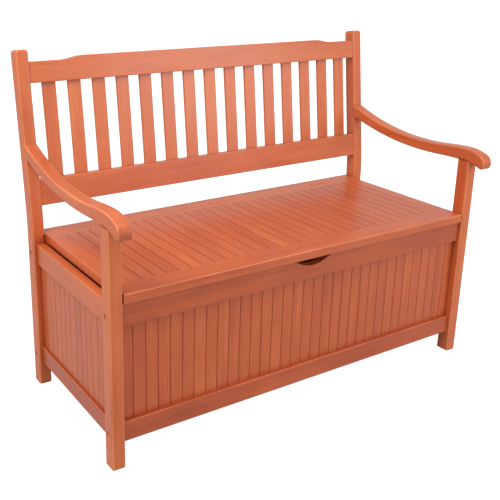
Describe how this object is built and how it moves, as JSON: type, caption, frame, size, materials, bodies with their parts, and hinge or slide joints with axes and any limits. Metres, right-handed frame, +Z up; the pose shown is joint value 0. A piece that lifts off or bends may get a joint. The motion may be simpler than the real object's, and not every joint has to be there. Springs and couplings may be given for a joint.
{
  "type": "garden storage bench",
  "caption": "Wooden garden bench with a slatted leaning back, swept arms and a hinged slatted seat lid over a boarded storage box.",
  "frame": {"origin": "on the ground, under the middle of the bench's bounding box", "axes": "+X along the seat, +Y towards the back, +Z up; the front faces -Y"},
  "size_m": [1.2, 0.6124, 0.9441],
  "materials": {
    "varnished_wood": "semi-gloss varnish",
    "zinc_steel": "zinc plated",
    "brown_steel": "brown lacquer, satin"
  },
  "bodies": {
    "box": {"armrest_pins": "varnished_wood", "back_boards": "varnished_wood", "back_bottom_rail": "varnished_wood", "back_slat_01": "varnished_wood", "back_slat_02": "varnished_wood", "back_slat_03": "varnished_wood", "back_slat_04": "varnished_wood", "back_slat_05": "varnished_wood", "back_slat_06": "varnished_wood", "back_slat_07": "varnished_wood", "back_slat_08": "varnished_wood", "back_slat_09": "varnished_wood", "back_slat_10": "varnished_wood", "back_slat_11": "varnished_wood", "back_slat_12": "varnished_wood", "back_slat_13": "varnished_wood", "back_slat_14": "varnished_wood", "back_slat_15": "varnished_wood", "back_top_rail": "varnished_wood", "backrest_bottom_rail": "varnished_wood", "backrest_top_rail": "varnished_wood", "barrel_nuts": "zinc_steel", "floor_boards": "varnished_wood", "floor_cleats": "varnished_wood", "frame_bolts": "brown_steel", "front_boards": "varnished_wood", "front_bottom_rail": "varnished_wood", "front_top_rail": "varnished_wood", "hinge_box_leaves": "brown_steel", "hinge_box_screws": "brown_steel", "hinge_pins": "brown_steel", "left_armrest": "varnished_wood", "left_front_leg": "varnished_wood", "left_rear_post": "varnished_wood", "left_side_boards": "varnished_wood", "left_side_bottom_rail": "varnished_wood", "left_side_top_rail": "varnished_wood", "rear_seat_board": "varnished_wood", "right_armrest": "varnished_wood", "right_front_leg": "varnished_wood", "right_rear_post": "varnished_wood", "right_side_boards": "varnished_wood", "right_side_bottom_rail": "varnished_wood", "right_side_top_rail": "varnished_wood"},
    "lid": {"hinge_lid_leaves": "brown_steel", "hinge_lid_screws": "brown_steel", "lid_batten_screws": "zinc_steel", "lid_front_batten": "varnished_wood", "lid_front_rail": "varnished_wood", "lid_left_rail": "varnished_wood", "lid_rear_batten": "varnished_wood", "lid_rear_rail": "varnished_wood", "lid_right_rail": "varnished_wood", "lid_slats": "varnished_wood"}
  },
  "joints": [
    {"name": "lid_hinge", "type": "hinge", "parent": "box", "child": "lid", "pos_m": [0, 0.20975, 0.4517], "axis": [-1, 0, 0], "range_deg": [0, 95]}
  ]
}
